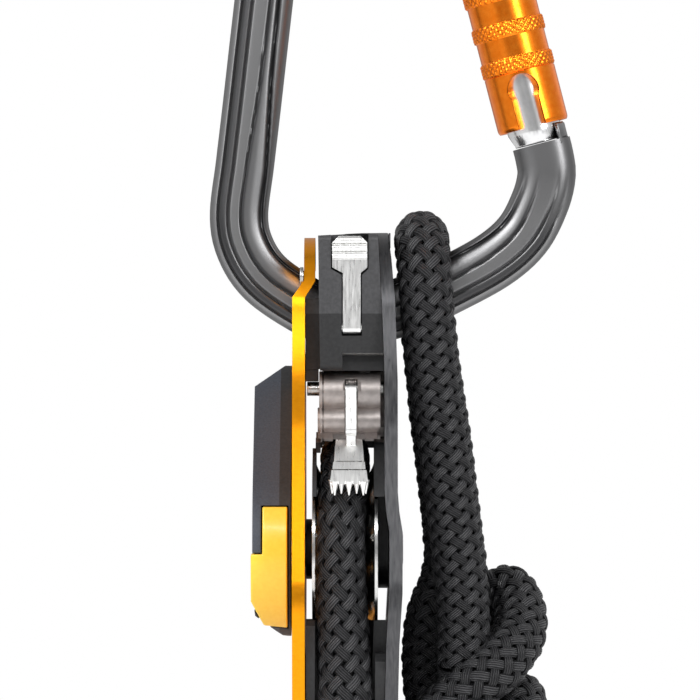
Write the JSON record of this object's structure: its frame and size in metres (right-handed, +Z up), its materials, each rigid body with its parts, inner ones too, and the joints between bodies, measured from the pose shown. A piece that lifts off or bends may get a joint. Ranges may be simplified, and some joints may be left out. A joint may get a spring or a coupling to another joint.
{
  "type": "rope grab",
  "caption": "Self-braking rope grab with cam, toothed catch and safety handle, hung from a locking connector on a braided rope whose end is knotted over the connector.",
  "frame": {"origin": "anchor seat: the middle of the bar's inner face at the top of the connector, where an anchor holds it", "axes": "+Z up along the load line; +X from the handle's side of the device to the fixed side plate and the gate; +Y from the catch's side to the back"},
  "size_m": [0.0738, 0.062, 0.2599],
  "materials": {
    "grey_anodised": "satin anodised, forged",
    "silver_anodised": "satin anodised",
    "orange_anodised": "gloss anodised, knurled",
    "gold_anodised": "satin anodised, stamped edge",
    "black_anodised": "satin anodised",
    "steel": "turned",
    "polished_steel": "cast and tumbled",
    "cam_steel": "turned, polished flange",
    "cast_steel": "gunmetal, investment cast",
    "screw_steel": "blackened",
    "spring_steel": "drawn wire",
    "bronze": "sintered",
    "block_plastic": "fine moulded texture",
    "guide_plastic": "smooth moulded",
    "handle_plastic": "fine moulded texture",
    "yellow_plastic": "moulded, half gloss",
    "rope_fabric": "braided polyamide sheath",
    "sleeve_rubber": "heat shrink"
  },
  "bodies": {
    "connector": {"connector_frame": "grey_anodised", "hinge_rivet": "steel", "rope_loop": "rope_fabric", "rope_knot": "rope_fabric", "tail_sleeve": "sleeve_rubber"},
    "gate": {"connector_gate": "silver_anodised", "gate_spring": "spring_steel", "sleeve_spring": "spring_steel"},
    "sleeve_slider": {"sleeve_guide": "guide_plastic"},
    "sleeve": {"locking_sleeve": "orange_anodised"},
    "device": {"fixed_plate": "black_anodised", "top_block": "block_plastic", "block_screws": "screw_steel", "latch_pin": "steel", "friction_housing": "cast_steel", "housing_screws": "screw_steel", "catch_pin": "steel", "cam_axle": "steel", "left_washer": "guide_plastic", "right_washer": "guide_plastic", "rope_guide": "guide_plastic", "guide_screws": "screw_steel", "friction_plate": "cam_steel", "friction_screws": "screw_steel", "rope_run": "rope_fabric", "rope_end_sleeve": "sleeve_rubber", "latch_spring": "spring_steel", "catch_spring": "spring_steel", "cam_spring": "spring_steel"},
    "latch": {"latch_lever": "polished_steel"},
    "catch": {"catch": "polished_steel"},
    "cam": {"cam": "cam_steel", "cam_bush": "bronze"},
    "moving_plate": {"moving_plate": "gold_anodised", "plate_bush": "bronze", "safety_gate": "guide_plastic", "gate_rivet": "steel"},
    "handle": {"handle": "handle_plastic", "handle_cap": "block_plastic", "handle_screw": "steel", "button_spring": "spring_steel"},
    "button": {"handle_button": "yellow_plastic"}
  },
  "joints": [
    {"name": "device_swing", "type": "hinge", "parent": "connector", "child": "device", "pos_m": [0, 0, -0.092], "axis": [1, 0, 0], "range_deg": [-35, 35], "deforming": ["rope_run"]},
    {"name": "gate_swing", "type": "hinge", "parent": "connector", "child": "gate", "pos_m": [0.02508, 0, -0.00682], "axis": [0, 1, 0], "range_deg": [0, 25], "stiffness_Nm_per_rad": 0.1, "springref_deg": -17.19},
    {"name": "sleeve_slide", "type": "slide", "parent": "gate", "child": "sleeve_slider", "axis": [-0.2504, 0, 0.9681], "range_m": [0, 0.004], "stiffness_N_per_m": 400, "springref_m": -0.002, "deforming": ["sleeve_spring"]},
    {"name": "sleeve_turn", "type": "hinge", "parent": "sleeve_slider", "child": "sleeve", "pos_m": [0.0386, 0, -0.0591], "axis": [-0.2504, 0, 0.9681], "range_deg": [0, 90], "stiffness_Nm_per_rad": 0.02, "springref_deg": -17.19},
    {"name": "latch_press", "type": "hinge", "parent": "device", "child": "latch", "pos_m": [0, -0.0159, -0.0958], "axis": [1, 0, 0], "range_deg": [0, 12], "stiffness_Nm_per_rad": 0.05, "springref_deg": -5.73, "deforming": ["latch_spring"]},
    {"name": "catch_swing", "type": "hinge", "parent": "device", "child": "catch", "pos_m": [0, -0.01, -0.1079], "axis": [1, 0, 0], "range_deg": [-10, 0], "stiffness_Nm_per_rad": 0.05, "springref_deg": 11.46, "deforming": ["catch_spring"]},
    {"name": "plate_swing", "type": "hinge", "parent": "device", "child": "moving_plate", "pos_m": [0, 0, -0.14], "axis": [1, 0, 0], "range_deg": [0, 100], "deforming": ["safety_gate"]},
    {"name": "handle_swing", "type": "hinge", "parent": "device", "child": "handle", "pos_m": [0, 0, -0.14], "axis": [1, 0, 0], "range_deg": [-100, 0]},
    {"name": "cam_pivot", "type": "hinge", "parent": "device", "child": "cam", "pos_m": [0, 0, -0.14], "axis": [1, 0, 0], "range_deg": [-20, 0], "deforming": ["cam_spring"]},
    {"name": "button_press", "type": "slide", "parent": "handle", "child": "button", "axis": [0, 1, 0], "range_m": [0, 0.003], "stiffness_N_per_m": 400, "springref_m": -0.002, "deforming": ["button_spring"]}
  ],
  "couplings": [
    {"joint": "cam_pivot", "follows": "handle_swing", "ratio": 0.2}
  ]
}
